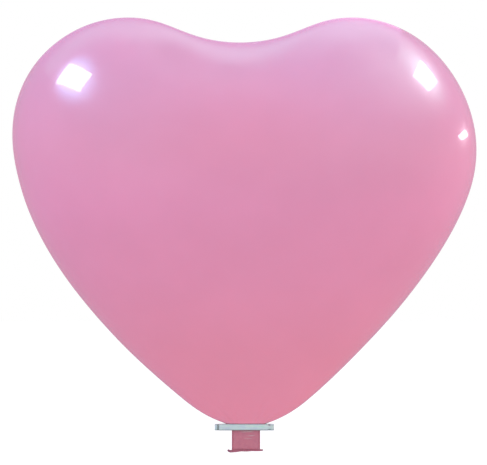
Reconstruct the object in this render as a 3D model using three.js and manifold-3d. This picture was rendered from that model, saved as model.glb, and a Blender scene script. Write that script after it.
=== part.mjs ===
// Giant heart-shaped latex balloon, its neck sealed by a hinged plastic bar clip.
// Millimetres, +Z up. The origin is the middle of the clip's grip on the neck; the front faces -Y.
import * as THREE from "three";
import { mergeVertices } from "three/addons/utils/BufferGeometryUtils.js";
import Module from "manifold-3d";

const wasm = await Module();
wasm.setup();

// ---- Heart: driving dimensions ----
const heart = {
  halfWidth: 388.1,
  widestZ: 476.5,
  lobeX: 187.3,
  lobeZ: 687,
  cleftZ: 645.5,
  halfDepth: 225,
  deepestZ: 400,
  wall: 0.55,
  fullness: 0.88,
  blend: 2.4,
};
// How far each curve of the outlines follows its end tangents.
const sidePull = { cleft: 95.5, lobe: 73, above: 116, hipUp: 60, hipDown: 48, fan: 11 };
const frontPull = { cleft: 98, above: 125, funnelY: 50, funnelZ: 82 };
// The hip is where the heart's straight flanks turn in towards the clip.
const hip = { x: 102.5, z: 45, angle: 0.69 };
const funnel = { halfWidth: 30.5, z: 4.5, halfDepth: 0.85, angle: 0.45 };
// The lobes and the belly sit a little to the left of the clip.
const lean = { lobes: -10, lobesFrom: 400, lobesRise: 230 };
const bellyLean = { shift: -3.3, from: 30, rise: 120, to: 430, fall: 200 };
const upperStations = 15;
const lowerStations = 15;
const pinchStations = 4;
const pointsPerHeartRing = 40;
const pointsPerNeckRing = 24;

// ---- Neck and rolled lip ----
const neck = { halfWidth: 23.7, halfDepthAtClip: 0.85, halfDepthAtLip: 2.9, squareness: 0.6 };
const lip = { centreX: -1.4, halfLength: 30, beadRadius: 1.9, halfGap: 2.6, z: -39.4 };
const lipDroop = { fromX: -6, length: 20, depth: 2.2, curlX: -26, curlLength: 5, curl: 1.5 };
const pieceGap = 0.3;

// ---- Clip ----
const clip = { halfHeight: 5.2, innerY: 1.15, outerY: 6.35, barEndX: 37.8, edge: 0.6 };
const ridge = { height: 1.2, halfWidth: 0.7, grooveDepth: 1.45, grooveHalfWidth: 3.2, startX: -41, endX: 33 };
const hinge = { x: 42.8, eyeRadius: 4.5, knuckleHalf: 2.3, boreRadius: 1.5, pinRadius: 1.2 };
const pinHead = { radius: 2.3, recessRadius: 2.6, baseZ: 4.6, topZ: 5.1, recessZ: 4.3 };
const nose = { rootX: -45, tipX: -49.4, outerY: 3.4 };
const rearArmEndX = -46.15;
const hook = { pivotX: -48.9, pivotY: 3.9, outerX: -52.3, innerX: -49.9, lipX: -48, lipY: 3.7, frontY: 6.9 };
const hookHalfHeight = 4.9;

const colours = { latex: 0xd98fb2, latexNeck: 0xbe768a, latexLip: 0xa66978, clip: 0xb9cccd, pin: 0xa9bcbf };

// ---- Helpers ----
function smooth(value) {
  const t = Math.min(Math.max(value, 0), 1);
  return t * t * (3 - 2 * t);
}

function signedPower(value, exponent) {
  return Math.sign(value) * Math.abs(value) ** exponent;
}

// A closed surface through rings of equal length. Poles close its two ends; without them it joins up.
function surfaceOfRings(rings, startPole, endPole) {
  const count = rings[0].length;
  const vertices = rings.flat();
  const faces = [];
  const at = (ring, point) => ring * count + (point % count);
  const spans = startPole ? rings.length - 1 : rings.length;
  for (let ring = 0; ring < spans; ring++) {
    const next = (ring + 1) % rings.length;
    for (let point = 0; point < count; point++) {
      faces.push(at(ring, point), at(next, point), at(next, point + 1));
      faces.push(at(ring, point), at(next, point + 1), at(ring, point + 1));
    }
  }
  if (startPole) {
    const first = vertices.push(startPole) - 1;
    const last = vertices.push(endPole) - 1;
    for (let point = 0; point < count; point++) {
      faces.push(first, at(0, point), at(0, point + 1));
      faces.push(last, at(rings.length - 1, point + 1), at(rings.length - 1, point));
    }
  }
  const geometry = new THREE.BufferGeometry();
  const numbers = vertices.flatMap((vertex) => vertex.toArray());
  geometry.setAttribute("position", new THREE.Float32BufferAttribute(numbers, 3));
  geometry.setIndex(faces);
  return geometry;
}

function toSolid(geometry) {
  const bare = geometry.clone();
  bare.deleteAttribute("normal");
  bare.deleteAttribute("uv");
  const merged = mergeVertices(bare, 1e-4);
  const vertProperties = new Float32Array(merged.attributes.position.array);
  const triVerts = new Uint32Array(merged.index.array);
  return new wasm.Manifold(new wasm.Mesh({ numProp: 3, vertProperties, triVerts }));
}

function toGeometry(solid) {
  const { vertProperties, triVerts } = solid.getMesh();
  const geometry = new THREE.BufferGeometry();
  geometry.setAttribute("position", new THREE.BufferAttribute(vertProperties, 3));
  geometry.setIndex(new THREE.BufferAttribute(triVerts, 1));
  return geometry;
}

// An outline in the XY plane, made into a block from lowZ to highZ with rounded rims.
function block(shape, lowZ, highZ, edge = 0) {
  const geometry = new THREE.ExtrudeGeometry(shape, {
    depth: highZ - lowZ - 2 * edge,
    bevelEnabled: edge > 0,
    bevelThickness: edge,
    bevelSize: edge,
    bevelOffset: -edge,
    bevelSegments: 2,
    curveSegments: 10,
  });
  geometry.translate(0, 0, lowZ + edge);
  return toSolid(geometry);
}

function box(x0, y0, z0, x1, y1, z1) {
  const geometry = new THREE.BoxGeometry(x1 - x0, y1 - y0, z1 - z0);
  geometry.translate((x0 + x1) / 2, (y0 + y1) / 2, (z0 + z1) / 2);
  return toSolid(geometry);
}

function shaftOnHinge(radius, lowZ, highZ) {
  const geometry = new THREE.CylinderGeometry(radius, radius, highZ - lowZ, 28);
  geometry.rotateX(Math.PI / 2);
  geometry.translate(hinge.x, 0, (lowZ + highZ) / 2);
  return toSolid(geometry);
}

function polygon(points) {
  return new THREE.Shape(points.map(([x, y]) => new THREE.Vector2(x, y)));
}

// ---- Latex skin: a side outline and a front outline, joined by rings ----
// Both run from the cleft over the widest place to the funnel, so station i of one meets station i of
// the other.
function sideOutline() {
  const { halfWidth, widestZ, lobeX, lobeZ, cleftZ } = heart;
  const { cleft, lobe, above, hipUp, hipDown, fan } = sidePull;
  const pastLobe = matchedPull(lobe, lobeZ - cleftZ, lobeZ - widestZ - above);
  const overHip = along(hip.x, hip.z, hip.angle, hipUp);
  const underHip = along(hip.x, hip.z, hip.angle, -hipDown);
  const aboveFunnel = along(funnel.halfWidth, funnel.z, funnel.angle, fan);
  const below = matchedPull(above, halfWidth - lobeX - pastLobe, halfWidth - overHip.x);
  const upper = new THREE.Path();
  upper.moveTo(0, cleftZ);
  upper.bezierCurveTo(cleft, cleftZ, lobeX - lobe, lobeZ, lobeX, lobeZ);
  upper.bezierCurveTo(lobeX + pastLobe, lobeZ, halfWidth, widestZ + above, halfWidth, widestZ);
  const lower = new THREE.Path();
  lower.moveTo(halfWidth, widestZ);
  lower.bezierCurveTo(halfWidth, widestZ - below, overHip.x, overHip.y, hip.x, hip.z);
  lower.bezierCurveTo(underHip.x, underHip.y, aboveFunnel.x, aboveFunnel.y, funnel.halfWidth, funnel.z);
  return joinStations(upper, lower);
}

function frontOutline() {
  const { halfDepth, deepestZ, cleftZ } = heart;
  const { cleft, above, funnelY, funnelZ } = frontPull;
  const below = matchedPull(above, halfDepth - cleft, halfDepth - funnelY);
  const upper = new THREE.Path();
  upper.moveTo(0, cleftZ);
  upper.bezierCurveTo(cleft, cleftZ, halfDepth, deepestZ + above, halfDepth, deepestZ);
  const lower = new THREE.Path();
  lower.moveTo(halfDepth, deepestZ);
  lower.bezierCurveTo(halfDepth, deepestZ - below, funnelY, funnelZ, funnel.halfDepth, funnel.z);
  return joinStations(upper, lower);
}

// The pull on a curve's far side of a joint that gives it the near side's curvature there.
function matchedPull(nearPull, nearDrop, farDrop) {
  return nearPull * Math.sqrt(farDrop / nearDrop);
}

// The point a given distance from (x, z), in the direction of the angle.
function along(x, z, angle, distance) {
  return new THREE.Vector2(x + distance * Math.cos(angle), z + distance * Math.sin(angle));
}

function joinStations(upper, lower) {
  const below = lower.getSpacedPoints(lowerStations).slice(1);
  return [...upper.getSpacedPoints(upperStations), ...below];
}

// The neck narrows inside the clip, and steps forward over the rear arm's ridge.
function neckHalfWidth(z) {
  const drop = (funnel.z - z) / (funnel.z + clip.halfHeight);
  return THREE.MathUtils.lerp(funnel.halfWidth, neck.halfWidth, Math.min(Math.max(drop, 0), 1));
}

function neckOffsetY(z) {
  const bendStart = 3;
  const bendLength = 2.1;
  return -ridge.height * smooth((bendStart - Math.abs(z)) / bendLength);
}

function pinchPoints(fromZ, toZ, steps, halfDepthAt) {
  const points = [];
  for (let step = 0; step <= steps; step++) {
    const z = THREE.MathUtils.lerp(fromZ, toZ, step / steps);
    points.push({ x: neckHalfWidth(z), y: halfDepthAt(z), z });
  }
  return points;
}

// Outward normal of a planar outline at one of its stations.
function outlineNormal(outline, index) {
  const before = outline[Math.max(index - 1, 0)];
  const after = outline[Math.min(index + 1, outline.length - 1)];
  const direction = new THREE.Vector2().subVectors(after, before).normalize();
  return new THREE.Vector2(-direction.y, direction.x);
}

function insetOutline(outline, wall) {
  return outline.map((point, index) => {
    if (index === 0) {
      return new THREE.Vector2(0, point.y - wall);
    }
    const normal = outlineNormal(outline, index);
    return new THREE.Vector2(point.x - wall * normal.x, point.y - wall * normal.y);
  });
}

function leanAt(z) {
  const rise = smooth((z - bellyLean.from) / bellyLean.rise);
  const fall = smooth((bellyLean.to - z) / bellyLean.fall);
  return lean.lobes * smooth((z - lean.lobesFrom) / lean.lobesRise) + bellyLean.shift * rise * fall;
}

// One ring: its side reaches (side.x, side.y) and its front reaches (front.x, front.y).
function skinRing(side, front) {
  const squareness = THREE.MathUtils.lerp(neck.squareness, heart.fullness, smooth(side.y / 120));
  const ring = [];
  for (let index = 0; index < pointsPerHeartRing; index++) {
    const turn = (index / pointsPerHeartRing) * 2 * Math.PI;
    const towardsFront = Math.abs(Math.sin(turn)) ** heart.blend;
    const z = THREE.MathUtils.lerp(side.y, front.y, towardsFront);
    const x = side.x * signedPower(Math.cos(turn), squareness) + leanAt(z);
    const y = front.x * signedPower(Math.sin(turn), squareness) + neckOffsetY(z);
    ring.push(new THREE.Vector3(x, y, z));
  }
  return ring;
}

function heartSkin() {
  const pinched = pinchPoints(funnel.z, pieceGap / 2, pinchStations, () => funnel.halfDepth).slice(1);
  const side = [...sideOutline(), ...pinched.map((p) => new THREE.Vector2(p.x, p.z))];
  const front = [...frontOutline(), ...pinched.map((p) => new THREE.Vector2(p.y, p.z))];
  const innerSide = insetOutline(side, heart.wall);
  const innerFront = insetOutline(front, heart.wall);
  const last = side.length - 1;
  innerSide[last].y = side[last].y;
  innerFront[last].y = side[last].y;
  const outer = side.slice(1).map((point, index) => skinRing(point, front[index + 1]));
  const inner = innerSide.slice(1).map((point, index) => skinRing(point, innerFront[index + 1]));
  const top = new THREE.Vector3(leanAt(heart.cleftZ), 0, heart.cleftZ);
  const innerTop = new THREE.Vector3(leanAt(heart.cleftZ), 0, heart.cleftZ - heart.wall);
  return surfaceOfRings([...outer, ...inner.reverse()], top, innerTop);
}

// ---- Neck sleeve: the flat tube from the clip down to the lip ----
// The lip droops towards its left end, whose tip curls up again.
function lipZ(x) {
  const droop = lipDroop.depth * smooth((lipDroop.fromX - x) / lipDroop.length);
  const curl = lipDroop.curl * smooth((lipDroop.curlX - x) / lipDroop.curlLength);
  return lip.z - droop + curl;
}

function neckHalfDepth(z) {
  const opening = smooth((-clip.halfHeight - z) / 28);
  return THREE.MathUtils.lerp(neck.halfDepthAtClip, neck.halfDepthAtLip, opening);
}

function sleeveRing(point, wall, reach) {
  const ring = [];
  for (let index = 0; index < pointsPerNeckRing; index++) {
    const turn = (index / pointsPerNeckRing) * 2 * Math.PI;
    const x = (point.x - wall) * signedPower(Math.cos(turn), neck.squareness);
    const hem = lipZ(x) + lip.beadRadius + pieceGap;
    const z = THREE.MathUtils.lerp(point.z, hem, reach);
    const y = (point.y - wall) * signedPower(Math.sin(turn), neck.squareness) + neckOffsetY(z);
    ring.push(new THREE.Vector3(x, y, z));
  }
  return ring;
}

function neckSleeve() {
  const grip = pinchPoints(-pieceGap / 2, -clip.halfHeight, pinchStations, neckHalfDepth);
  const free = pinchPoints(-clip.halfHeight, lip.z, 7, neckHalfDepth).slice(1);
  const stations = grip.map((point) => ({ point, reach: 0 }));
  free.forEach((point, index) => stations.push({ point, reach: smooth((index + 1) / free.length) }));
  const outer = stations.map(({ point, reach }) => sleeveRing(point, 0, reach));
  const inner = stations.map(({ point, reach }) => sleeveRing(point, heart.wall, reach));
  return surfaceOfRings([...outer, ...inner.reverse()]);
}

// ---- Rolled lip: a bead running once round the flattened mouth ----
function rolledLip() {
  const bend = lip.halfGap;
  const straight = lip.halfLength - lip.beadRadius - bend;
  const path = new THREE.Path();
  path.moveTo(-straight, -bend);
  path.lineTo(straight, -bend);
  path.absarc(straight, 0, bend, -Math.PI / 2, Math.PI / 2, false);
  path.lineTo(-straight, bend);
  path.absarc(-straight, 0, bend, Math.PI / 2, 1.5 * Math.PI, false);
  const stations = 36;
  const sides = 8;
  const rings = [];
  for (let index = 0; index < stations; index++) {
    const centre = path.getPointAt(index / stations);
    const forward = path.getTangentAt(index / stations);
    const ring = [];
    for (let side = 0; side < sides; side++) {
      const turn = (side / sides) * 2 * Math.PI;
      const out = lip.beadRadius * Math.cos(turn);
      const x = lip.centreX + centre.x + out * forward.y;
      const y = centre.y - out * forward.x;
      ring.push(new THREE.Vector3(x, y, lipZ(lip.centreX + centre.x) + lip.beadRadius * Math.sin(turn)));
    }
    rings.push(ring);
  }
  return surfaceOfRings(rings);
}

// ---- Clip ----
// The eye round the hinge pin, with the web that joins it to an arm. side is +1 behind, -1 in front.
function eyeOutline(side) {
  const shape = new THREE.Shape();
  const wrap = THREE.MathUtils.degToRad(205);
  shape.moveTo(34, side * clip.innerY);
  shape.lineTo(34, side * clip.outerY);
  shape.lineTo(hinge.x, side * hinge.eyeRadius);
  shape.absarc(hinge.x, 0, hinge.eyeRadius, (side * Math.PI) / 2, side * (wrap - 2 * Math.PI), side > 0);
  shape.lineTo(clip.barEndX - 0.3, side * clip.innerY);
  return shape;
}

function rearArm() {
  const { halfHeight, innerY, outerY, barEndX, edge } = clip;
  const outline = polygon([
    [rearArmEndX, innerY], [barEndX, innerY], [barEndX, outerY], [rearArmEndX, outerY],
  ]);
  const lowLug = block(eyeOutline(1), -halfHeight, -hinge.knuckleHalf - pieceGap);
  const highLug = block(eyeOutline(1), hinge.knuckleHalf + pieceGap, halfHeight);
  const bar = block(outline, -halfHeight, halfHeight, edge);
  const gripRidge = box(
    ridge.startX + pieceGap, innerY - ridge.height, -ridge.halfWidth,
    ridge.endX - pieceGap, innerY + 1, ridge.halfWidth,
  );
  const bore = shaftOnHinge(hinge.boreRadius, -halfHeight - 1, halfHeight + 1);
  const lowRecess = shaftOnHinge(pinHead.recessRadius, -halfHeight - 1, -pinHead.recessZ);
  const highRecess = shaftOnHinge(pinHead.recessRadius, pinHead.recessZ, halfHeight + 1);
  const solid = bar.add(lowLug).add(highLug).add(gripRidge);
  return toGeometry(solid.subtract(bore).subtract(lowRecess).subtract(highRecess));
}

function frontArm() {
  const { halfHeight, innerY, outerY, barEndX, edge } = clip;
  const outline = polygon([
    [nose.tipX, -innerY], [nose.tipX, -nose.outerY + 0.8], [nose.tipX + 0.8, -nose.outerY],
    [nose.rootX, -nose.outerY], [nose.rootX, -outerY], [barEndX, -outerY], [barEndX, -innerY],
  ]);
  const bar = block(outline, -halfHeight, halfHeight, edge);
  const knuckle = block(eyeOutline(-1), -hinge.knuckleHalf, hinge.knuckleHalf);
  const groove = box(
    ridge.startX, -innerY - ridge.grooveDepth, -ridge.grooveHalfWidth,
    ridge.endX, 0, ridge.grooveHalfWidth,
  );
  const bore = shaftOnHinge(hinge.boreRadius, -halfHeight, halfHeight);
  return toGeometry(bar.add(knuckle).subtract(groove).subtract(bore));
}

function latchHook() {
  const { pivotX, pivotY, outerX, innerX, lipX, lipY, frontY } = hook;
  const bossRadius = clip.outerY - pivotY;
  const shoulder = 2.6;
  const shape = new THREE.Shape();
  shape.moveTo(lipX, -lipY);
  shape.lineTo(innerX, -lipY);
  shape.lineTo(innerX, pivotY - bossRadius);
  shape.lineTo(pivotX, pivotY - bossRadius);
  shape.absarc(pivotX, pivotY, bossRadius, -Math.PI / 2, Math.PI / 2, false);
  shape.lineTo(outerX + shoulder, clip.outerY);
  shape.quadraticCurveTo(outerX, clip.outerY, outerX, clip.outerY - shoulder);
  shape.lineTo(outerX, 1.2 - frontY);
  shape.quadraticCurveTo(outerX, -frontY, outerX + 1.2, -frontY);
  shape.lineTo(lipX - 0.9, -frontY);
  return toGeometry(block(shape, -hookHalfHeight, hookHalfHeight, 0.4));
}

function hingePin() {
  const profile = [
    [0, -pinHead.topZ], [pinHead.radius, -pinHead.topZ], [pinHead.radius, -pinHead.baseZ],
    [hinge.pinRadius, -pinHead.baseZ], [hinge.pinRadius, pinHead.baseZ],
    [pinHead.radius, pinHead.baseZ], [pinHead.radius, pinHead.topZ], [0, pinHead.topZ],
  ];
  const geometry = new THREE.LatheGeometry(profile.map(([r, z]) => new THREE.Vector2(r, z)), 24);
  geometry.rotateX(Math.PI / 2);
  geometry.translate(hinge.x, 0, 0);
  return geometry;
}

// ---- Assembly ----
const balloon = new THREE.Group();

function addPiece(parent, name, geometry, color, roughness) {
  const material = new THREE.MeshStandardMaterial({ color, roughness, metalness: 0 });
  const mesh = new THREE.Mesh(geometry, material);
  mesh.name = name;
  parent.add(mesh);
}

const latex = new THREE.Group();
addPiece(latex, "heart_skin", heartSkin(), colours.latex, 0.3);
addPiece(latex, "neck_sleeve", neckSleeve(), colours.latexNeck, 0.5);
addPiece(latex, "rolled_lip", rolledLip(), colours.latexLip, 0.5);

const barClip = new THREE.Group();
addPiece(barClip, "clip_rear_arm", rearArm(), colours.clip, 0.4);
addPiece(barClip, "clip_front_arm", frontArm(), colours.clip, 0.4);
addPiece(barClip, "clip_latch_hook", latchHook(), colours.clip, 0.4);
addPiece(barClip, "clip_hinge_pin", hingePin(), colours.pin, 0.4);

balloon.add(latex, barClip);

export default balloon;
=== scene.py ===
import math

import bpy
import numpy as np
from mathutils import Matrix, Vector


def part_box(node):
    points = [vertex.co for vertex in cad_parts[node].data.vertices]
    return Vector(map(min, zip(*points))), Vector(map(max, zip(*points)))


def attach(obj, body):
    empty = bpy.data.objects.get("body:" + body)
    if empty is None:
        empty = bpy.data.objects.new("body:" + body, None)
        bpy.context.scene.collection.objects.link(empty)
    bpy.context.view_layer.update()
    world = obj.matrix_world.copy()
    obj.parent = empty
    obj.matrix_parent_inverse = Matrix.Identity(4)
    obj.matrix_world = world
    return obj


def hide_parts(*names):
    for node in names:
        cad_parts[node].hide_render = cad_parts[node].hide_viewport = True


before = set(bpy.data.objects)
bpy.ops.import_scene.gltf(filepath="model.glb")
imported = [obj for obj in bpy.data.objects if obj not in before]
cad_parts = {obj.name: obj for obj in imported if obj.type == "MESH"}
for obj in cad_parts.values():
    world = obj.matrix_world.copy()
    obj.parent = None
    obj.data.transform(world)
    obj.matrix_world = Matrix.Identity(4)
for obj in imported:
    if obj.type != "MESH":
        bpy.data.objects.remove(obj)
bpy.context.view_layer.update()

MM = 0.001
scene = bpy.context.scene

# ---- Sizes from the frame ----
skin_low, skin_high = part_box("heart_skin")
sleeve_low, sleeve_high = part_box("neck_sleeve")
lip_low, lip_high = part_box("rolled_lip")

HALF_WIDTH = (skin_high.x - skin_low.x) / 2
HALF_DEPTH = (skin_high.y - skin_low.y) / 2
LOBE_Z = skin_high.z
CLIP_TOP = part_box("clip_front_arm")[1].z

# The heart's outlines, as shares of its half width, half depth and height.
LOBE_X = 0.4826 * HALF_WIDTH
WIDEST_Z = 0.694 * LOBE_Z
CLEFT_Z = 0.94 * LOBE_Z
CLEFT_PULL = 0.2461 * HALF_WIDTH
DEEPEST_Z = 0.5826 * LOBE_Z
FULLNESS = 0.88
RING_BLEND = 2.4
HIP = (102.5 * MM, 45 * MM)
HIP_ANGLE = 0.69
HIP_PULL_UP = 60 * MM
HIP_PULL_DOWN = 48 * MM
FUNNEL_ANGLE = 0.45
FUNNEL_PULL = 11 * MM
FUNNEL_HALF_WIDTH = 30.5 * MM
FUNNEL_HALF_DEPTH = 0.85 * MM
FUNNEL_Z = 4.5 * MM
NECK_HALF_WIDTH = 23.7 * MM
NECK_SQUARENESS = 0.6
NECK_HALF_DEPTH = (sleeve_high.y - sleeve_low.y) / 2
RIDGE_HEIGHT = 1.2 * MM
RIDGE_FOOT = 3 * MM
RIDGE_SLOPE = 2.1 * MM
LOBE_LEAN = 10 * MM
BELLY_LEAN = 3.3 * MM


# ---- Small helpers ----
def smooth(value):
    """0 below 0, 1 above 1 and an even slope between them."""
    t = np.clip(value, 0.0, 1.0)
    return t * t * (3 - 2 * t)


def lerp(low, high, share):
    return low + (high - low) * share


def signed_power(value, exponent):
    return np.sign(value) * np.abs(value) ** exponent


def bezier(p0, p1, p2, p3, count=400):
    t = np.linspace(0, 1, count)[:, None]
    points = [np.array(p, float) for p in (p0, p1, p2, p3)]
    return (
        (1 - t) ** 3 * points[0]
        + 3 * (1 - t) ** 2 * t * points[1]
        + 3 * (1 - t) * t * t * points[2]
        + t**3 * points[3]
    )


def evenly(points, count):
    """The same line with count equal steps along it."""
    steps = np.hypot(*np.diff(points, axis=0).T)
    along = np.concatenate([[0.0], np.cumsum(steps)])
    wanted = np.linspace(0, along[-1], count + 1)
    return np.stack([np.interp(wanted, along, points[:, axis]) for axis in (0, 1)], axis=1)


def matched_pull(near_pull, near_drop, far_drop):
    """The pull on the far side of a turning point that keeps the outline's curvature the same there."""
    return near_pull * math.sqrt(far_drop / near_drop)


def mesh_object(name, vertices, faces, smooth_faces=True):
    mesh = bpy.data.meshes.new(name)
    mesh.from_pydata([tuple(v) for v in vertices], [], faces)
    mesh.validate()
    mesh.update()
    for polygon in mesh.polygons:
        polygon.use_smooth = smooth_faces
    piece = bpy.data.objects.new(name, mesh)
    scene.collection.objects.link(piece)
    return piece


def store_values(piece, name, values):
    """Stores a number at each of the piece's points, for its material to read."""
    attribute = piece.data.attributes.new(name, "FLOAT", "POINT")
    attribute.data.foreach_set("value", values.ravel())


def rings_object(name, rings, start_pole=None, cap_end=False, join=False):
    """A surface through rings of equal length, with a pole at the start and a cap at the end if asked."""
    count = len(rings[0])
    vertices = np.concatenate(rings)
    faces = []
    spans = len(rings) if join else len(rings) - 1
    for ring in range(spans):
        here = ring * count
        there = ((ring + 1) % len(rings)) * count
        for point in range(count):
            after = (point + 1) % count
            faces.append((here + point, there + point, there + after, here + after))
    if start_pole is not None:
        vertices = np.vstack([vertices, start_pole])
        pole = len(vertices) - 1
        faces += [(pole, point, (point + 1) % count) for point in range(count)]
    if cap_end:
        last = (len(rings) - 1) * count
        faces.append(tuple(last + point for point in reversed(range(count))))
    return mesh_object(name, vertices, faces)


# ---- Heart ----
STATIONS_EACH_HALF = 64
POINTS_PER_RING = 192
PINCH_RINGS = 8
FINE_SPANS = 6
FINE_RINGS = 40
COLLAR_SWELL = 4.6 * MM
COLLAR_GAP = 0.25 * MM
COLLAR_STEP = 0.9 * MM
SHALLOW_PLEAT = 0.12 * MM
DEEP_PLEAT = 0.55 * MM


def along(start, angle, distance):
    return start[0] + distance * math.cos(angle), start[1] + distance * math.sin(angle)


def side_outline():
    """Half of the heart seen from the front, as (x, z) from the cleft over the lobe to the clip."""
    lobe_pull = 0.1881 * HALF_WIDTH
    above = 0.169 * LOBE_Z
    past_lobe = matched_pull(lobe_pull, LOBE_Z - CLEFT_Z, LOBE_Z - WIDEST_Z - above)
    over_hip = along(HIP, HIP_ANGLE, HIP_PULL_UP)
    under_hip = along(HIP, HIP_ANGLE, -HIP_PULL_DOWN)
    above_funnel = along((FUNNEL_HALF_WIDTH, FUNNEL_Z), FUNNEL_ANGLE, FUNNEL_PULL)
    below = matched_pull(above, HALF_WIDTH - LOBE_X - past_lobe, HALF_WIDTH - over_hip[0])
    to_lobe = bezier(
        (0, CLEFT_Z), (CLEFT_PULL, CLEFT_Z),
        (LOBE_X - lobe_pull, LOBE_Z), (LOBE_X, LOBE_Z),
    )
    to_side = bezier(
        (LOBE_X, LOBE_Z), (LOBE_X + past_lobe, LOBE_Z),
        (HALF_WIDTH, WIDEST_Z + above), (HALF_WIDTH, WIDEST_Z),
    )
    to_hip = bezier((HALF_WIDTH, WIDEST_Z), (HALF_WIDTH, WIDEST_Z - below), over_hip, HIP)
    to_funnel = bezier(HIP, under_hip, above_funnel, (FUNNEL_HALF_WIDTH, FUNNEL_Z))
    upper = evenly(np.vstack([to_lobe, to_side[1:]]), STATIONS_EACH_HALF)
    lower = evenly(np.vstack([to_hip, to_funnel[1:]]), STATIONS_EACH_HALF)
    return np.vstack([upper, lower[1:]])


def front_outline():
    """The middle of the heart's front seen from the side, as (depth, z) from the cleft to the clip."""
    cleft = 0.436 * HALF_DEPTH
    above = 0.1815 * LOBE_Z
    funnel_y = 0.222 * HALF_DEPTH
    funnel_z = 0.119 * LOBE_Z
    below = matched_pull(above, HALF_DEPTH - cleft, HALF_DEPTH - funnel_y)
    upper = bezier(
        (0, CLEFT_Z), (cleft, CLEFT_Z), (HALF_DEPTH, DEEPEST_Z + above), (HALF_DEPTH, DEEPEST_Z)
    )
    lower = bezier(
        (HALF_DEPTH, DEEPEST_Z), (HALF_DEPTH, DEEPEST_Z - below),
        (funnel_y, funnel_z), (FUNNEL_HALF_DEPTH, FUNNEL_Z),
    )
    return np.vstack([evenly(upper, STATIONS_EACH_HALF), evenly(lower, STATIONS_EACH_HALF)[1:]])


def neck_half_width(z):
    share = np.clip((FUNNEL_Z - z) / (FUNNEL_Z + CLIP_TOP), 0, 1)
    return lerp(FUNNEL_HALF_WIDTH, NECK_HALF_WIDTH, share)


def neck_offset_y(z):
    """The neck steps forward over the rear arm's ridge, in the middle of the grip."""
    return -RIDGE_HEIGHT * smooth((RIDGE_FOOT - np.abs(z)) / RIDGE_SLOPE)


def lean_at(z):
    """The lobes and the belly sit a little to the left of the clip."""
    belly = smooth((z - 0.03) / 0.12) * smooth((0.43 - z) / 0.2)
    return -LOBE_LEAN * smooth((z - 0.4) / 0.23) - BELLY_LEAN * belly


def collar(z):
    """Just above the clip the latex swells out over its arms."""
    rise = smooth((z - CLIP_TOP - COLLAR_GAP) / COLLAR_STEP)
    return COLLAR_SWELL * rise * smooth((80 * MM - z) / (72 * MM))


def gathers(x, z):
    """Shallow pleats that fan out from the clip, deepest beside its ends."""
    angle = np.arctan2(z + 20 * MM, x)
    waves = np.sin(27 * angle + 0.5) + 0.6 * np.sin(43 * angle + 2)
    depth = lerp(SHALLOW_PLEAT, DEEP_PLEAT, smooth(np.abs(x) / (34 * MM)))
    return depth * waves * smooth((z - CLIP_TOP) / (3 * MM)) * smooth((65 * MM - z) / (50 * MM))


def skin_ring(side, front):
    """A ring through a point of the side outline and the point of the front outline that goes with it."""
    squareness = lerp(NECK_SQUARENESS, FULLNESS, smooth(side[1] / 0.12))
    turn = np.arange(POINTS_PER_RING) / POINTS_PER_RING * 2 * math.pi
    to_front = np.abs(np.sin(turn)) ** RING_BLEND
    z = lerp(side[1], front[1], to_front)
    x = side[0] * signed_power(np.cos(turn), squareness) + lean_at(z)
    half_depth = front[0] + collar(z) + gathers(x, z)
    y = half_depth * signed_power(np.sin(turn), squareness) + neck_offset_y(z)
    return np.stack([x, y, z], axis=1)


def finer_at_funnel(outline):
    """The same outline with its last spans split up, and most finely next to the clip."""
    last = len(outline) - 1
    closer = last - FINE_SPANS * np.linspace(1, 0, FINE_RINGS + 1) ** 2
    wanted = np.concatenate([np.arange(last - FINE_SPANS), closer])
    steps = np.arange(last + 1)
    return np.stack([np.interp(wanted, steps, outline[:, axis]) for axis in (0, 1)], axis=1)


def heart_body():
    pinch_z = np.linspace(FUNNEL_Z, skin_low.z, PINCH_RINGS + 1)[1:]
    side = np.vstack([finer_at_funnel(side_outline()), [(neck_half_width(z), z) for z in pinch_z]])
    front = np.vstack([finer_at_funnel(front_outline()), [(FUNNEL_HALF_DEPTH, z) for z in pinch_z]])
    rings = [skin_ring(s, f) for s, f in zip(side[1:], front[1:])]
    piece = rings_object("heart_latex", rings, start_pole=(lean_at(CLEFT_Z), 0, CLEFT_Z), cap_end=True)
    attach(piece, "balloon")
    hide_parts("heart_skin")
    return piece


# ---- Neck and rolled lip ----
SLEEVE_TOP = sleeve_high.z
LIP_LEVEL = -38.8 * MM
LATEX_WALL = 0.55 * MM
NECK_RINGS = 110
NECK_POINTS = 168
LIP_STATIONS = 300
LIP_SIDES = 20
LIP_OVERHANG = 0.6 * MM
LIP_CENTRE_X = (lip_low.x + lip_high.x) / 2 + LIP_OVERHANG
LIP_HALF_LENGTH = (lip_high.x - lip_low.x) / 2 + LIP_OVERHANG
LIP_HALF_GAP = 2.6 * MM
LIP_THICKEST = 1.95 * MM
LIP_THINNEST = 1.35 * MM
LIP_DROOP = 1.8 * MM
LIP_CURL = 1.9 * MM
MOUTH_FLARE = 3.2 * MM
PUCKER_WIDTH = 0.75 * MM
SLACK_WAVE = 0.1 * MM
SEAM_DEPTH = 0.16 * MM
SEAM_WIDTH = 0.8 * MM
SEAM_X = 18.6 * MM
POWDER_AND_HIGHLIGHT_RELIEF = 0.2 * MM

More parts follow.
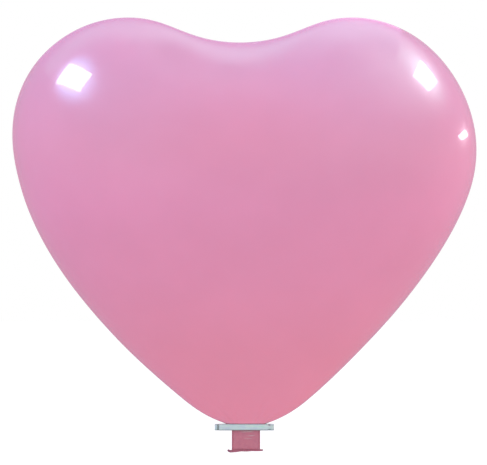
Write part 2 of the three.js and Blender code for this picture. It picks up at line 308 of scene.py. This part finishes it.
# Puckers pressed into the neck by the clip: middle (x, z), half length, height and slope.
FRONT_PUCKERS = [
    (2.0 * MM, -7.6 * MM, 12.0 * MM, 0.34 * MM, 0.02),
    (9.0 * MM, -14.0 * MM, 6.5 * MM, 0.24 * MM, 0.05),
    (4.0 * MM, -19.0 * MM, 8.5 * MM, 0.16 * MM, 0.0),
    (-12.0 * MM, -10.5 * MM, 5.5 * MM, 0.12 * MM, -0.06),
]
BACK_PUCKERS = [
    (-4.0 * MM, -8.2 * MM, 10.0 * MM, 0.3 * MM, -0.03),
    (-9.5 * MM, -15.0 * MM, 6.0 * MM, 0.2 * MM, 0.04),
    (7.0 * MM, -12.0 * MM, 7.0 * MM, 0.16 * MM, 0.05),
]


def lip_level(x):
    """The lip droops towards its left end, whose tip curls up again."""
    droop = LIP_DROOP * smooth((-6 * MM - x) / (20 * MM))
    curl = LIP_CURL * smooth((-26 * MM - x) / (5 * MM))
    return LIP_LEVEL - droop + curl


def pucker_relief(x, z, puckers):
    """Long low ridges, each with a shallower furrow over it."""
    relief = np.zeros_like(x)
    for middle_x, middle_z, half_length, height, slope in puckers:
        across = (z - middle_z - slope * (x - middle_x)) / PUCKER_WIDTH
        lengthwise = np.clip(1 - ((x - middle_x) / half_length) ** 2, 0, 1)
        profile = np.exp(-across * across) - 0.45 * np.exp(-((across - 1.9) ** 2))
        relief += height * lengthwise * profile
    return relief


def neck_relief(x, z, front):
    """How far the neck stands out: its puckers, slack waves and the seams beside its folded edges."""
    puckers = np.where(front, pucker_relief(x, z, FRONT_PUCKERS), pucker_relief(x, z, BACK_PUCKERS))
    sideways = np.sin(x / (5.1 * MM) + 60 * z)
    downwards = np.sin(z / (6.3 * MM) + np.where(front, 0.4, 2.1))
    slack = SLACK_WAVE * sideways * downwards
    seam = -SEAM_DEPTH * np.exp(-(((np.abs(x) - SEAM_X) / SEAM_WIDTH) ** 2))
    free = smooth((-CLIP_TOP - z) / (2 * MM))
    return (puckers + slack + seam) * free


def sleeve_ring(z, wall, reach):
    """A ring of the neck: reach runs from 0 under the clip to 1 at the lip, whose droop it follows."""
    turn = np.arange(NECK_POINTS) / NECK_POINTS * 2 * math.pi
    flare = MOUTH_FLARE * smooth((reach - 0.9) / 0.1)
    half_width = neck_half_width(z) - wall + flare
    x = half_width * signed_power(np.cos(turn), NECK_SQUARENESS)
    level = lerp(z, lip_level(x), smooth(reach))
    opening = smooth((-CLIP_TOP - level) / (28 * MM))
    half_depth = lerp(FUNNEL_HALF_DEPTH, NECK_HALF_DEPTH - 1.2 * MM, opening) - wall
    edge_roll = 1 + 0.35 * opening * smooth((np.abs(x) / half_width - 0.8) / 0.15)
    relief = neck_relief(x, level, turn > math.pi)
    y = half_depth * edge_roll * signed_power(np.sin(turn), NECK_SQUARENESS)
    y = y + np.sign(np.sin(turn)) * relief * np.abs(np.sin(turn)) ** 0.3 + neck_offset_y(level)
    return np.stack([x, y, level], axis=1)


def neck():
    levels = np.linspace(SLEEVE_TOP, LIP_LEVEL, NECK_RINGS)
    reaches = np.clip((-CLIP_TOP - levels) / (-CLIP_TOP - LIP_LEVEL), 0, 1)
    outer = [sleeve_ring(z, 0, reach) for z, reach in zip(levels, reaches)]
    inner = [sleeve_ring(z, LATEX_WALL, reach) for z, reach in zip(levels, reaches)]
    piece = rings_object("neck", outer + inner[::-1], join=True)
    points = np.concatenate(outer + inner[::-1])
    # Pale on the pucker ridges: partly talc powder, partly a painted highlight where the ridges catch the
    # light.
    relief = pucker_relief(points[:, 0], points[:, 2], FRONT_PUCKERS[:3])
    store_values(piece, "powder_and_highlight", np.clip(relief / POWDER_AND_HIGHLIGHT_RELIEF, 0, 1))
    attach(piece, "balloon")
    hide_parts("neck_sleeve")
    return piece


def racetrack(count, straight, bend):
    """Evenly spaced points and outward directions along a flattened loop, seen from above."""
    length = 4 * straight + 2 * math.pi * bend
    places = []
    for step in range(count):
        run = step / count * length
        if run < 2 * straight:
            places.append((-straight + run, -bend, -math.pi / 2))
        elif run < 2 * straight + math.pi * bend:
            angle = (run - 2 * straight) / bend - math.pi / 2
            places.append((straight + bend * math.cos(angle), bend * math.sin(angle), angle))
        elif run < 4 * straight + math.pi * bend:
            places.append((straight - (run - 2 * straight - math.pi * bend), bend, math.pi / 2))
        else:
            angle = (run - 4 * straight - math.pi * bend) / bend + math.pi / 2
            places.append((-straight + bend * math.cos(angle), bend * math.sin(angle), angle))
    return places


def rolled_lip():
    """The bead of rolled-up latex: its turns show as fine lines along it, and it thins to the right."""
    straight = LIP_HALF_LENGTH - LIP_THICKEST - LIP_HALF_GAP
    turn = np.arange(LIP_SIDES * 2) / (LIP_SIDES * 2) * 2 * math.pi
    rings = []
    for step, (x, y, facing) in enumerate(racetrack(LIP_STATIONS, straight, LIP_HALF_GAP)):
        run = step / LIP_STATIONS * 2 * math.pi
        middle = LIP_CENTRE_X + x
        radius = lerp(LIP_THINNEST, LIP_THICKEST, smooth((20 * MM - middle) / (24 * MM)))
        pleats = 0.05 * math.sin(23 * run) + 0.04 * math.sin(41 * run + 1.3)
        wide_turns = 0.055 * np.cos(5 * turn + 3 * math.sin(2 * run))
        fine_turns = 0.03 * np.cos(9 * turn - 4 * run)
        reach = radius * (1 + pleats * np.cos(turn) ** 2 + (wide_turns + fine_turns))
        out = reach * np.cos(turn)
        level = lip_level(middle) + 0.15 * MM * math.sin(7 * run + 0.6)
        rings.append(np.stack([
            middle + out * math.cos(facing),
            y + out * math.sin(facing),
            level + reach * np.sin(turn),
        ], axis=1))
    piece = rings_object("lip", rings, join=True)
    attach(piece, "balloon")
    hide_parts("rolled_lip")
    return piece


# ---- Materials ----
WHITE = (1, 1, 1, 1)
BLACK = (0, 0, 0, 1)


def new_material(name):
    material = bpy.data.materials.new(name)
    material.use_nodes = True
    material.node_tree.nodes.clear()
    nodes = material.node_tree.nodes
    output = nodes.new("ShaderNodeOutputMaterial")
    shader = nodes.new("ShaderNodeBsdfPrincipled")
    material.node_tree.links.new(shader.outputs["BSDF"], output.inputs["Surface"])
    return material, shader


def add_node(material, kind, **settings):
    node = material.node_tree.nodes.new(kind)
    for key, value in settings.items():
        setattr(node, key, value)
    return node


def link(material, source, target):
    material.node_tree.links.new(source, target)


def set_values(node, values):
    for socket, value in values.items():
        node.inputs[socket].default_value = value


def set_stops(colour_ramp, stops):
    elements = colour_ramp.elements
    while len(elements) < len(stops):
        elements.new(0.5)
    for element, (position, colour) in zip(elements, stops):
        element.position = position
        element.color = colour


def linear(hex_colour):
    """An sRGB colour written as RRGGBB, as linear numbers with alpha."""
    channels = [int(hex_colour[i : i + 2], 16) / 255 for i in (0, 2, 4)]
    return tuple(c / 12.92 if c <= 0.04045 else ((c + 0.055) / 1.055) ** 2.4 for c in channels) + (1.0,)


def grey(value):
    return (value, value, value, 1.0)


def object_coordinates(material):
    return add_node(material, "ShaderNodeTexCoord").outputs["Object"]


def noise(material, scale, detail=3.0, roughness=0.5):
    node = add_node(material, "ShaderNodeTexNoise")
    set_values(node, {"Scale": scale, "Detail": detail, "Roughness": roughness})
    link(material, object_coordinates(material), node.inputs["Vector"])
    return node.outputs["Fac"]


def ramp(material, source, stops):
    node = add_node(material, "ShaderNodeValToRGB")
    set_stops(node.color_ramp, stops)
    link(material, source, node.inputs["Fac"])
    return node.outputs["Color"]


def mix_colour(material, share, first, second, blend="MIX"):
    node = add_node(material, "ShaderNodeMix", data_type="RGBA", blend_type=blend)
    if isinstance(share, float):
        node.inputs["Factor"].default_value = share
    else:
        link(material, share, node.inputs["Factor"])
    link(material, first, node.inputs["A"])
    link(material, second, node.inputs["B"])
    return node.outputs["Result"]


def mapped(material, source, low, high):
    node = add_node(material, "ShaderNodeMapRange", interpolation_type="SMOOTHSTEP")
    set_values(node, {"From Min": low, "From Max": high})
    link(material, source, node.inputs["Value"])
    return node.outputs["Result"]


def bump(material, shader, source, strength, distance):
    node = add_node(material, "ShaderNodeBump")
    set_values(node, {"Strength": strength, "Distance": distance})
    link(material, source, node.inputs["Height"])
    link(material, node.outputs["Normal"], shader.inputs["Normal"])


def stored_values(material, name):
    """The numbers stored under a name at the piece's points."""
    node = add_node(material, "ShaderNodeAttribute", attribute_name=name, attribute_type="GEOMETRY")
    return node.outputs["Fac"]


def separate(material, vector):
    """The X, Y and Z of a vector."""
    node = add_node(material, "ShaderNodeSeparateXYZ")
    link(material, vector, node.inputs["Vector"])
    return node.outputs


def absolute(material, source):
    node = add_node(material, "ShaderNodeMath", operation="ABSOLUTE")
    link(material, source, node.inputs[0])
    return node.outputs[0]


def times(material, first, second):
    """The product of two colours."""
    return mix_colour(material, 1.0, first, second, "MULTIPLY")


def spot(material, place, centre_x, centre_z, squash, radius):
    """1 at a place on both halves of the heart and 0 beyond the radius. A low squash makes it wide."""
    squashed = add_node(material, "ShaderNodeMath", operation="MULTIPLY")
    link(material, absolute(material, place["X"]), squashed.inputs[0])
    squashed.inputs[1].default_value = squash
    flat = add_node(material, "ShaderNodeCombineXYZ")
    link(material, squashed.outputs[0], flat.inputs["X"])
    link(material, place["Z"], flat.inputs["Z"])
    distance = add_node(material, "ShaderNodeVectorMath", operation="DISTANCE")
    link(material, flat.outputs["Vector"], distance.inputs[0])
    distance.inputs[1].default_value = (centre_x * squash, 0, centre_z)
    return mapped(material, distance.outputs["Value"], radius, 0.0)


def stretched_latex():
    """Pink latex blown up thin: more lilac towards the lobes, deeper between them, with painted light:
    brightness by height, a brightening just above the clip and a painted highlight on the lobes' crowns.
    """
    material, shader = new_material("stretched_latex")
    place = separate(material, object_coordinates(material))
    height = add_node(material, "ShaderNodeMapRange")
    height.inputs["From Max"].default_value = LOBE_Z
    link(material, place["Z"], height.inputs["Value"])
    # The colour by height is the latex's tint, lilac towards the lobes, with painted light in it: its
    # brightness by height stands in for how the light falls on the heart, and its bright first stops just
    # above the clip are painted light where the clip shades the latex.
    body = ramp(
        material, height.outputs["Result"],
        [
            (0.002, (1.0, 0.44, 0.58, 1)), (0.014, (0.828, 0.29, 0.405, 1)),
            (0.18, (0.82, 0.294, 0.424, 1)), (0.363, (0.8, 0.303, 0.47, 1)),
            (0.533, (0.77, 0.305, 0.484, 1)), (0.674, (0.7, 0.303, 0.46, 1)),
            (0.85, (0.62, 0.293, 0.465, 1)), (1.0, (0.595, 0.29, 0.467, 1)),
        ],
    )
    mottle = ramp(material, noise(material, 9.0), [(0.3, grey(0.96)), (0.7, grey(1.0))])
    middle = ramp(
        material, spot(material, place, 0.0, 0.5, 0.6, 0.14),
        [(0.0, grey(1.0)), (1.0, (0.99, 0.9, 0.9, 1))],
    )
    # Painted highlight: the crowns of the lobes are made lighter where the light catches them.
    crown_painted_highlight = ramp(
        material, spot(material, place, 0.165, 0.653, 0.25, 0.024),
        [(0.0, grey(1.0)), (1.0, (1.02, 1.1, 1.05, 1))],
    )
    deeper = times(material, times(material, body, mottle), middle)
    link(material, times(material, deeper, crown_painted_highlight), shader.inputs["Base Color"])
    set_values(shader, {
        "Roughness": 0.24,
        "Specular IOR Level": 0.4,
        "Specular Tint": (0.85, 0.8, 1.0, 1.0),
        "Coat Weight": 1.0,
        "Coat Roughness": 0.02,
        "Subsurface Weight": 0.2,
        "Subsurface Radius": (1.0, 0.45, 0.5),
        "Subsurface Scale": 0.02,
    })
    bump(material, shader, noise(material, 900.0, 2.0), 0.04, 0.0004)
    return material


def slack_latex(name, light, dark, fold_start, fold_tint):
    """Latex that isn't stretched: deeper, tinted in its folded edges, with talc powder and a painted
    highlight on its pucker ridges.
    """
    material, shader = new_material(name)
    place = separate(material, object_coordinates(material))
    fold = mapped(material, absolute(material, place["X"]), fold_start, fold_start + 2.5 * MM)
    body = ramp(material, noise(material, 140.0, 4.0), [(0.3, linear(light)), (0.75, linear(dark))])
    folded = ramp(material, fold, [(0.0, WHITE), (1.0, fold_tint)])
    # Pale pink-grey for the pucker ridges: talc powder and a painted highlight.
    chalk_and_highlight = ramp(
        material, noise(material, 420.0, 3.0),
        [(0.3, linear("c89aa4")), (0.7, linear("d3b4b8"))],
    )
    powder_and_highlight = stored_values(material, "powder_and_highlight")
    with_powder_and_highlight = mix_colour(material, powder_and_highlight, times(material, body, folded), chalk_and_highlight)
    link(material, with_powder_and_highlight, shader.inputs["Base Color"])
    gloss = ramp(material, noise(material, 260.0, 3.0), [(0.3, grey(0.42)), (0.75, grey(0.6))])
    link(material, gloss, shader.inputs["Roughness"])
    set_values(shader, {
        "Specular IOR Level": 0.4,
        "Subsurface Weight": 0.25,
        "Subsurface Radius": (1.0, 0.4, 0.45),
        "Subsurface Scale": 0.003,
    })
    bump(material, shader, noise(material, 900.0, 4.0), 0.12, 0.0004)
    return material


def clip_plastic(name, shade=1.0, nose_painted_shade=1.0):
    """Pale aqua translucent plastic in faint green and blue patches, with painted shade along its lower
    edge and in the nose recess.
    """
    material, shader = new_material(name)
    stretched = add_node(material, "ShaderNodeMapping")
    stretched.inputs["Scale"].default_value = (0.16, 0.5, 1.0)
    link(material, object_coordinates(material), stretched.inputs["Vector"])
    patches = add_node(material, "ShaderNodeTexNoise")
    set_values(patches, {"Scale": 330.0, "Detail": 2.0})
    link(material, stretched.outputs["Vector"], patches.inputs["Vector"])
    body = ramp(
        material, patches.outputs["Fac"],
        [
            (0.3, linear("c6d2e4")), (0.45, linear("c2dde2")),
            (0.56, linear("d0e3e1")), (0.7, linear("b2e4d4")),
        ],
    )
    clouds = ramp(material, noise(material, 60.0), [(0.3, grey(0.96 * shade)), (0.7, grey(shade))])
    place = separate(material, object_coordinates(material))
    # Painted shade: the plastic is darkened along its lower edge, where shade falls under the clip.
    lower_edge = mapped(material, place["Z"], -4.6 * MM, -3.2 * MM)
    lower_edge_painted_shade = ramp(material, lower_edge, [(0.0, grey(0.36)), (1.0, WHITE)])
    # Painted shade: the arm's recessed nose, in the gap beside the latch hook, is darkened as if in
    # shadow.
    nose = mapped(material, place["X"], -45.3 * MM, -44.8 * MM)
    recess_painted_shade = ramp(material, nose, [(0.0, grey(nose_painted_shade)), (1.0, WHITE)])
    shaded = times(material, lower_edge_painted_shade, recess_painted_shade)
    tinted = times(material, body, clouds)
    link(material, times(material, tinted, shaded), shader.inputs["Base Color"])
    gloss = ramp(material, noise(material, 500.0, 4.0), [(0.3, grey(0.28)), (0.75, grey(0.42))])
    link(material, gloss, shader.inputs["Roughness"])
    set_values(shader, {
        "Subsurface Weight": 0.25,
        "Subsurface Radius": (0.8, 1.0, 1.0),
        "Subsurface Scale": 0.002,
    })
    bump(material, shader, noise(material, 1400.0, 3.0), 0.1, 0.0003)
    return material


def dress(piece, material):
    piece.data.materials.clear()
    piece.data.materials.append(material)


# ---- Camera, stage and light ----
CAMERA_DISTANCE = 4.0
FRAMED_WIDTH = 2.107 * HALF_WIDTH
VIEW_CENTRE = Vector((-4.1 * MM, 0, 0.3267))
FILL_STRENGTH = 1.07
ROOM_STRENGTH = 1.0
PANEL_STRENGTH = 1.1
LAMP_DISTANCE = 2.0
BLOOM_DISTANCE = 2.1
DIFFUSER_STRENGTH = 16.0
FLOOR_LEVEL = -0.35
FLOOR_SIZE = 14.0
PANEL_LEVEL = 0.9
PANEL_LEFT, PANEL_RIGHT = -0.7, 0.385
PANEL_FRONT, PANEL_BACK = -0.4, 1.25

# Each lamp: where on the heart's front it is mirrored, the softbox that lights matt surfaces (width,
# height, power and colour), and the mirrored front of that softbox, as diffuser() takes it.
LAMPS = {
    "left": {
        "mirrored_at": (-0.279, 0.578),
        "softbox": (0.79, 0.54, 15.0, (0.9, 0.86, 1.0)),
        "diffuser": {
            "width": 0.78, "height": 0.52, "roll": 0.19, "slant": 0.115, "flare": -0.04,
            "shift": (-0.045, 0.02), "colour": (0.95, 0.93, 1, 1),
        },
    },
    "right": {
        "mirrored_at": (0.292, 0.580),
        "softbox": (0.75, 0.5, 16.0, (1.0, 0.94, 0.94)),
        "diffuser": {
            "width": 0.72, "height": 0.46, "roll": -0.13, "slant": -0.08, "flare": 0.1,
            "shift": (0, 0.035), "colour": (1, 0.96, 0.98, 1),
        },
    },
    "small": {
        "mirrored_at": (0.356, 0.486),
        "softbox": (0.55, 0.2, 4.5, (1.0, 0.95, 0.92)),
        "diffuser": {
            "width": 0.575, "height": 0.115, "roll": 0, "slant": -0.21, "flare": 0,
            "shift": (0.01, -0.015), "colour": (1, 0.96, 0.95, 1),
        },
    },
}


def camera():
    data = bpy.data.cameras.new("camera")
    data.sensor_width = 36.0
    data.lens = data.sensor_width * CAMERA_DISTANCE / FRAMED_WIDTH
    data.clip_end = 100
    piece = bpy.data.objects.new("camera", data)
    piece.location = VIEW_CENTRE + Vector((0, -CAMERA_DISTANCE, 0))
    piece.rotation_euler = (math.pi / 2, 0, 0)
    scene.collection.objects.link(piece)
    scene.camera = piece


def floor():
    sides = ((-1, -1), (1, -1), (1, 1), (-1, 1))
    corners = [(x * FLOOR_SIZE, y * FLOOR_SIZE, FLOOR_LEVEL) for x, y in sides]
    piece = mesh_object("studio_floor", corners, [(0, 1, 2, 3)], smooth_faces=False)
    material, shader = new_material("studio_floor_paint")
    tone = ramp(material, noise(material, 0.6), [(0.3, grey(0.93)), (0.7, grey(0.95))])
    link(material, tone, shader.inputs["Base Color"])
    set_values(shader, {
        "Roughness": 0.9,
        "Specular IOR Level": 0.0,
        "Emission Color": WHITE,
        "Emission Strength": 0.12,
    })
    dress(piece, material)
    piece.visible_glossy = False
    piece.visible_diffuse = False


def mirror_only(piece):
    """Leaves the piece visible in mirror images and nowhere else."""
    piece.visible_camera = False
    piece.visible_diffuse = False
    piece.visible_shadow = False
    piece.visible_transmission = False


def glowing(name):
    """A material that reflects nothing, for a surface that only gives out light."""
    material, shader = new_material(name)
    shader.inputs["Base Color"].default_value = BLACK
    return material, shader


def let_through(material, shader, share=None):
    """Lets what lies behind a glowing surface shine through it, all of it or the given share."""
    clear = add_node(material, "ShaderNodeBsdfTransparent")
    if share is not None:
        link(material, share, clear.inputs["Color"])
    both = add_node(material, "ShaderNodeAddShader")
    link(material, shader.outputs["BSDF"], both.inputs[0])
    link(material, clear.outputs["BSDF"], both.inputs[1])
    output = material.node_tree.nodes["Material Output"]
    link(material, both.outputs["Shader"], output.inputs["Surface"])


def overhead_panel():
    """A lilac panel close over the heart. Its mirror image is the band along the lobes."""
    across = np.linspace(PANEL_LEFT, PANEL_RIGHT, 73)
    back = np.linspace(PANEL_FRONT, PANEL_BACK, 133)
    x, y = np.meshgrid(across, back)
    # The light begins further back over the valley between the lobes, and a dark edge leads it there.
    valley = np.exp(-(((x + 0.025) / 0.065) ** 2))
    dark_edge = np.exp(-(((x + 0.06) / 0.05) ** 2))
    light_start = -0.117 - 0.1 * x + 0.105 * valley - 0.065
    cover = smooth((y - light_start + 0.16 * dark_edge) / (0.13 + 0.1 * dark_edge))
    light = smooth((y - light_start) / 0.13)
    glow = PANEL_STRENGTH * light * (1 + 0.5 * smooth((x + 0.05) / 0.28))
    far = smooth((y - 0.09 * valley) / 0.26)
    rows, columns = x.shape
    points = np.stack([x.ravel(), y.ravel(), np.full(x.size, PANEL_LEVEL)], axis=1)
    corners = [row * columns + column for row in range(rows - 1) for column in range(columns - 1)]
    faces = [(c, c + columns, c + columns + 1, c + 1) for c in corners]
    piece = mesh_object("overhead_panel", points, faces, smooth_faces=False)
    for name, values in (("cover", cover), ("glow", glow), ("far", far)):
        store_values(piece, name, values)
    material, shader = glowing("overhead_panel_glow")
    tint = ramp(
        material, stored_values(material, "far"),
        [(0.0, (0.64, 0.89, 0.97, 1)), (1.0, (0.6, 0.34, 0.56, 1))],
    )
    link(material, tint, shader.inputs["Emission Color"])
    link(material, stored_values(material, "glow"), shader.inputs["Emission Strength"])
    clear = ramp(material, stored_values(material, "cover"), [(0.0, WHITE), (1.0, BLACK)])
    let_through(material, shader, clear)
    dress(piece, material)
    mirror_only(piece)


def sky_direction(tree):
    """The direction a ray of the world's light comes from, as X, Y and Z."""
    coordinates = tree.nodes.new("ShaderNodeTexCoord")
    split = tree.nodes.new("ShaderNodeSeparateXYZ")
    tree.links.new(coordinates.outputs["Generated"], split.inputs["Vector"])
    return split.outputs


def shade_across(tree, source, stops):
    """A colour that runs through the stops as the source goes from -1 to 1."""
    spread = tree.nodes.new("ShaderNodeMapRange")
    spread.inputs["From Min"].default_value = -1
    tree.links.new(source, spread.inputs["Value"])
    colours = tree.nodes.new("ShaderNodeValToRGB")
    set_stops(colours.color_ramp, stops)
    tree.links.new(spread.outputs["Result"], colours.inputs["Fac"])
    return colours.outputs["Color"]


def sky(tree, first, second, strength):
    """A background that is the product of two shades."""
    product = tree.nodes.new("ShaderNodeMix")
    product.data_type = "RGBA"
    product.blend_type = "MULTIPLY"
    product.inputs["Factor"].default_value = 1.0
    tree.links.new(first, product.inputs["A"])
    tree.links.new(second, product.inputs["B"])
    background = tree.nodes.new("ShaderNodeBackground")
    background.inputs["Strength"].default_value = strength
    tree.links.new(product.outputs["Result"], background.inputs["Color"])
    return background.outputs["Background"]


def world_light():
    """White to the camera, a soft fill on matt surfaces, and a pink room in mirror images."""
    world = bpy.data.worlds.new("studio")
    world.use_nodes = True
    tree = world.node_tree
    tree.nodes.clear()
    output = tree.nodes.new("ShaderNodeOutputWorld")
    direction = sky_direction(tree)
    seen = tree.nodes.new("ShaderNodeBackground")
    seen.inputs["Color"].default_value = WHITE
    low_to_high = shade_across(
        tree, direction["Z"],
        [(0.0, (0.9, 0.84, 0.85, 1)), (0.5, (1.0, 0.97, 0.98, 1)), (1.0, (0.95, 0.96, 1.0, 1))],
    )
    left_to_right = shade_across(
        tree, direction["X"],
        [(0.0, (0.865, 0.95, 1.09, 1)), (0.5, (0.97, 0.97, 0.97, 1)), (1.0, (1.06, 1.0, 0.94, 1))],
    )
    fill = sky(tree, low_to_high, left_to_right, FILL_STRENGTH)
    room_colour = shade_across(
        tree, direction["Z"],
        [(0.0, (0.55, 0.3, 0.38, 1)), (0.5, (0.72, 0.35, 0.5, 1)), (1.0, (0.58, 0.42, 0.58, 1))],
    )
    front_to_back = shade_across(
        tree, direction["Y"],
        [(0.0, grey(0.97)), (0.6, grey(0.97)), (0.95, (0.98, 1.12, 1.06, 1))],
    )
    room = sky(tree, room_colour, front_to_back, ROOM_STRENGTH)
    path = tree.nodes.new("ShaderNodeLightPath")
    mirrored = tree.nodes.new("ShaderNodeMixShader")
    tree.links.new(path.outputs["Is Glossy Ray"], mirrored.inputs["Fac"])
    tree.links.new(fill, mirrored.inputs[1])
    tree.links.new(room, mirrored.inputs[2])
    choose = tree.nodes.new("ShaderNodeMixShader")
    tree.links.new(path.outputs["Is Camera Ray"], choose.inputs["Fac"])
    tree.links.new(mirrored.outputs["Shader"], choose.inputs[1])
    tree.links.new(seen.outputs["Background"], choose.inputs[2])
    tree.links.new(choose.outputs["Shader"], output.inputs["Surface"])
    scene.world = world


def reflection_direction(piece, x, z):
    """Where the camera sees (x, z) of the piece's front, and the direction that it mirrors there."""
    origin = Vector((x, -2, z))
    _, place, normal, _ = piece.ray_cast(origin, Vector((0, 1, 0)))
    view = (place - scene.camera.location).normalized()
    return place, view - 2 * view.dot(normal) * normal


def softbox(name, body, mirrored_at, width, height, power, colour):
    """A lamp that lights matt surfaces from the direction mirrored at a place on the heart's front."""
    place, away = reflection_direction(body, *mirrored_at)
    data = bpy.data.lights.new(name, "AREA")
    data.shape = "RECTANGLE"
    data.size = width
    data.size_y = height
    data.energy = power
    data.color = colour
    lamp = bpy.data.objects.new(name, data)
    lamp.location = place + away * LAMP_DISTANCE
    lamp.rotation_euler = (-away).to_track_quat("-Z", "Y").to_euler()
    lamp.visible_glossy = False
    scene.collection.objects.link(lamp)


def facing_panel(name, body, mirrored_at, distance, corners):
    """A panel that faces a place on the heart's front from the direction mirrored there."""
    place, away = reflection_direction(body, *mirrored_at)
    points = [(right, up, 0) for right, up in corners]
    piece = mesh_object(name, points, [(0, 1, 2, 3)], smooth_faces=False)
    piece.location = place + away * distance
    piece.rotation_euler = away.to_track_quat("Z", "Y").to_euler()
    return piece


def diffuser(name, body, mirrored_at, width, height, roll, slant, flare, shift, colour):
    """The bright front of a softbox, for mirror images: slant slides its top edge, flare widens it."""
    corners = []
    for side, level in ((-1, -1), (1, -1), (1, 1), (-1, 1)):
        across = side * width / 2 * (1 + flare * level) + slant * level / 2
        up = level * height / 2
        corners.append((
            shift[0] + across * math.cos(roll) - up * math.sin(roll),
            shift[1] + across * math.sin(roll) + up * math.cos(roll),
        ))
    piece = facing_panel(name, body, mirrored_at, LAMP_DISTANCE, corners)
    material, shader = glowing(name + "_light")
    cloth = ramp(material, noise(material, 3.0), [(0.3, grey(0.97)), (0.7, colour)])
    link(material, cloth, shader.inputs["Emission Color"])
    shader.inputs["Emission Strength"].default_value = DIFFUSER_STRENGTH
    dress(piece, material)
    mirror_only(piece)


def bloom(name, body, mirrored_at, radius, colour, strength):
    """A soft round reflector behind a lamp: the haze round its mirror image."""
    corners = [(-radius, -radius), (radius, -radius), (radius, radius), (-radius, radius)]
    piece = facing_panel(name, body, mirrored_at, BLOOM_DISTANCE, corners)
    material, shader = glowing(name + "_light")
    reach = add_node(material, "ShaderNodeVectorMath", operation="LENGTH")
    link(material, object_coordinates(material), reach.inputs[0])
    fade = mapped(material, reach.outputs["Value"], radius, 0.0)
    haze = ramp(material, fade, [(0.0, BLACK), (1.0, colour)])
    link(material, haze, shader.inputs["Emission Color"])
    shader.inputs["Emission Strength"].default_value = strength
    let_through(material, shader)
    dress(piece, material)
    mirror_only(piece)


# ---- Build ----
camera()
floor()
overhead_panel()
world_light()

heart = heart_body()
dress(heart, stretched_latex())
dress(neck(), slack_latex("slack_latex", "cc7f90", "c1758a", 20 * MM, (0.8, 0.7, 0.74, 1)))
# The rolled lip is a deeper copy of the neck's latex: partly its thicker rolled latex, partly painted
# shade.
dress(rolled_lip(), slack_latex("rolled_latex", "b06c80", "a06070", 25 * MM, (0.74, 0.86, 0.88, 1)))
# The arms' plastic carries painted shade in the nose recess.
arm_plastic = clip_plastic("arm_plastic", nose_painted_shade=0.6)
for node in ("clip_rear_arm", "clip_front_arm"):
    dress(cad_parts[node], arm_plastic)
dress(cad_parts["clip_latch_hook"], clip_plastic("hook_plastic"))
dress(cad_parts["clip_hinge_pin"], clip_plastic("pin_plastic", 0.88))

for side, lamp in LAMPS.items():
    softbox(side + "_softbox", heart, lamp["mirrored_at"], *lamp["softbox"])
for side, lamp in LAMPS.items():
    diffuser(side + "_diffuser", heart, lamp["mirrored_at"], **lamp["diffuser"])
bloom("left_bloom", heart, (-0.279, 0.578), 0.78, (0.1, 0.6, 1.0, 1), 10.0)
bloom("right_bloom", heart, (0.294, 0.584), 0.8, (0.3, 1.0, 0.85, 1), 2.8)
bloom("right_wide_bloom", heart, (0.262, 0.612), 1.9, (0.6, 1.0, 0.9, 1), 2.0)

scene.view_settings.view_transform = "Standard"
